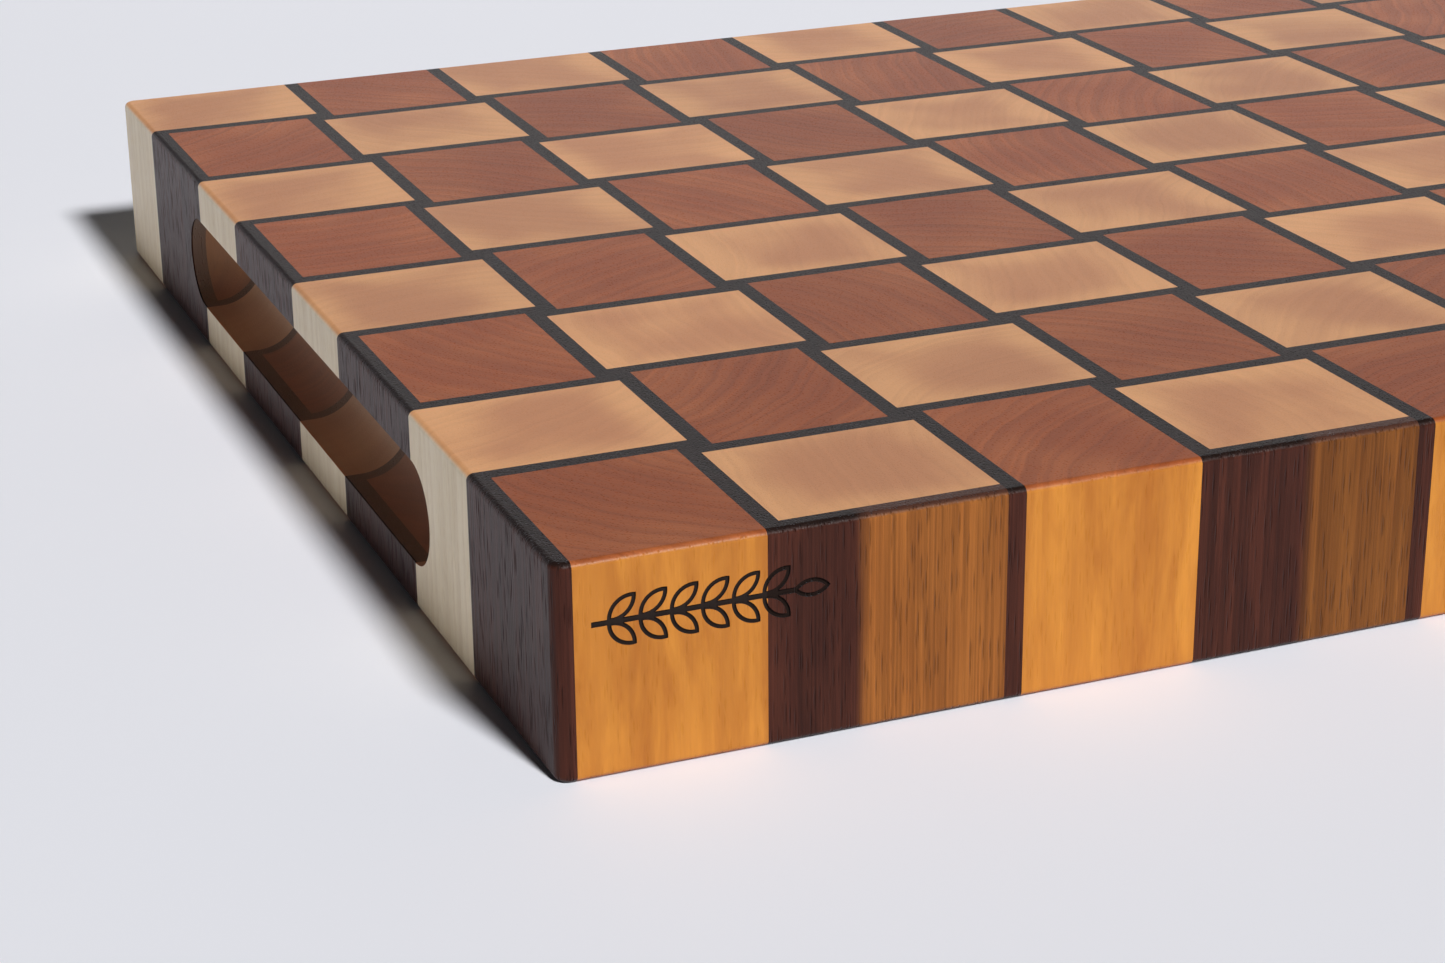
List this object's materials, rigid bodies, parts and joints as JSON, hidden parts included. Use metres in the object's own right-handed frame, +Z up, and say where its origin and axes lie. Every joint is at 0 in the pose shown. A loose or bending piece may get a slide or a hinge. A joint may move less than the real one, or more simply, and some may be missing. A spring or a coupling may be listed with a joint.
{
  "type": "cutting board",
  "caption": "Thick rectangular end-grain cutting board in chequered cherry and maple squares edged with walnut strips, with a finger groove in each short end.",
  "frame": {"origin": "middle of the bottom face, on the surface that the board stands on", "axes": "+X along the board's length, +Y across it to the back, +Z up through the cutting face"},
  "size_m": [0.4572, 0.3, 0.0366],
  "materials": {
    "cherry": "oiled, satin",
    "maple": "oiled, satin",
    "walnut": "oiled, satin"
  },
  "bodies": {
    "root": {"left_grip_cherry_blocks": "cherry", "left_grip_maple_blocks": "maple", "left_grip_walnut_back_strips": "walnut", "left_grip_walnut_front_strips": "walnut", "left_grip_walnut_left_strips": "walnut", "right_grip_cherry_blocks": "cherry", "right_grip_maple_blocks": "maple", "right_grip_walnut_back_strips": "walnut", "right_grip_walnut_front_strips": "walnut", "right_grip_walnut_right_strips": "walnut", "row_1_cherry_blocks": "cherry", "row_1_maple_blocks": "maple", "row_1_walnut_back_strips": "walnut", "row_1_walnut_front_strips": "walnut", "row_1_walnut_left_strips": "walnut", "row_1_walnut_right_strips": "walnut", "row_2_cherry_blocks": "cherry", "row_2_maple_blocks": "maple", "row_2_walnut_back_strips": "walnut", "row_2_walnut_front_strips": "walnut", "row_2_walnut_left_strips": "walnut", "row_2_walnut_right_strips": "walnut", "row_3_cherry_blocks": "cherry", "row_3_maple_blocks": "maple", "row_3_walnut_back_strips": "walnut", "row_3_walnut_front_strips": "walnut", "row_3_walnut_left_strips": "walnut", "row_3_walnut_right_strips": "walnut", "row_4_cherry_blocks": "cherry", "row_4_maple_blocks": "maple", "row_4_walnut_back_strips": "walnut", "row_4_walnut_front_strips": "walnut", "row_4_walnut_left_strips": "walnut", "row_4_walnut_right_strips": "walnut", "row_5_cherry_blocks": "cherry", "row_5_maple_blocks": "maple", "row_5_walnut_back_strips": "walnut", "row_5_walnut_front_strips": "walnut", "row_5_walnut_left_strips": "walnut", "row_5_walnut_right_strips": "walnut", "row_6_cherry_blocks": "cherry", "row_6_maple_blocks": "maple", "row_6_walnut_back_strips": "walnut", "row_6_walnut_front_strips": "walnut", "row_6_walnut_left_strips": "walnut", "row_6_walnut_right_strips": "walnut", "row_7_cherry_blocks": "cherry", "row_7_maple_blocks": "maple", "row_7_walnut_back_strips": "walnut", "row_7_walnut_front_strips": "walnut", "row_7_walnut_left_strips": "walnut", "row_7_walnut_right_strips": "walnut", "row_8_cherry_blocks": "cherry", "row_8_maple_blocks": "maple", "row_8_walnut_front_strips": "walnut", "row_8_walnut_left_strips": "walnut", "row_8_walnut_right_strips": "walnut"}
  },
  "joints": []
}
